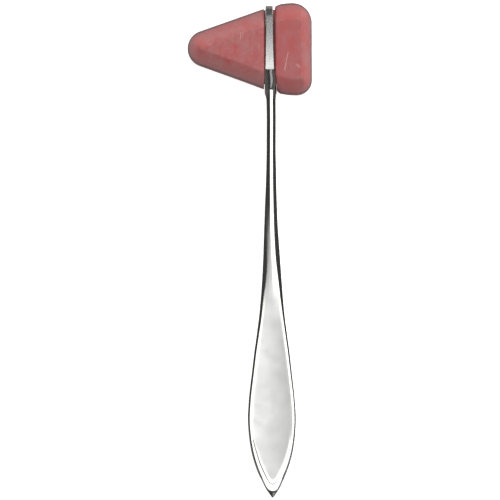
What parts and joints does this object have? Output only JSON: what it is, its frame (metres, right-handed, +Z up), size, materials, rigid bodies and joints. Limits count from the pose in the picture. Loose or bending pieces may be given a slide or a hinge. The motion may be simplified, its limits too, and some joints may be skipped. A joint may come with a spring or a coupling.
{
  "type": "reflex hammer",
  "caption": "Reflex hammer for a physical examination: a triangular rubber head held in a steel strap, on a slim steel handle that widens to a flat, pointed leaf-shaped grip.",
  "frame": {"origin": "on the table that the hammer lies on, under the middle of its bounding box", "axes": "+Y along the handle towards the head, +X across towards the head's wide striking edge, +Z up, out of the front face"},
  "size_m": [0.0474, 0.1904, 0.0178],
  "materials": {
    "rubber": "matt moulded rubber, slightly chalky, with light scuffs",
    "polished_steel": "mirror-polished strap and shank, with a softly brushed, hollowed face on the grip"
  },
  "bodies": {
    "root": {"rubber_head": "rubber", "head_strap": "polished_steel", "handle": "polished_steel"}
  },
  "joints": []
}
